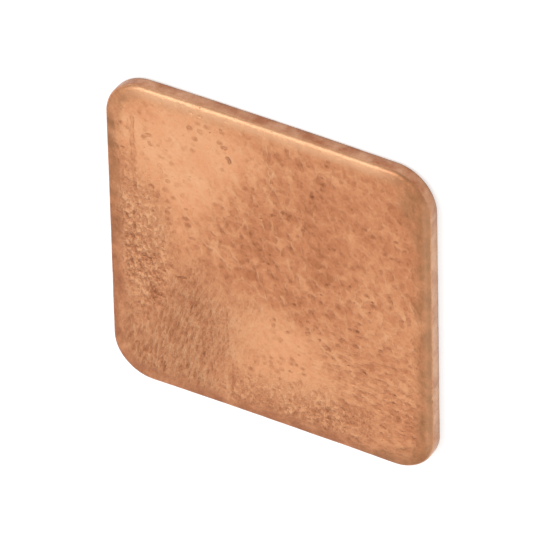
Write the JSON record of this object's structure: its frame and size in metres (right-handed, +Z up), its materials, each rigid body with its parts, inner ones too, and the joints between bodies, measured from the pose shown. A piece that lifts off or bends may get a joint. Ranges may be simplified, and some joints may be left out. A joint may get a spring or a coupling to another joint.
{
  "type": "copper shim",
  "caption": "Small square pad of solid copper with rounded corners, a softly rolled upper rim and a fine rounded lower rim, laid in a gap to fill it and carry heat across.",
  "frame": {"origin": "centre of the lower face, on the plane that the pad lies on", "axes": "+Z up through the thickness, out of the face with the rolled rim; X and Y along the sides"},
  "size_m": [0.015, 0.015, 0.0008],
  "materials": {
    "copper": "satin"
  },
  "bodies": {
    "root": {"shim_plate": "copper"}
  },
  "joints": []
}
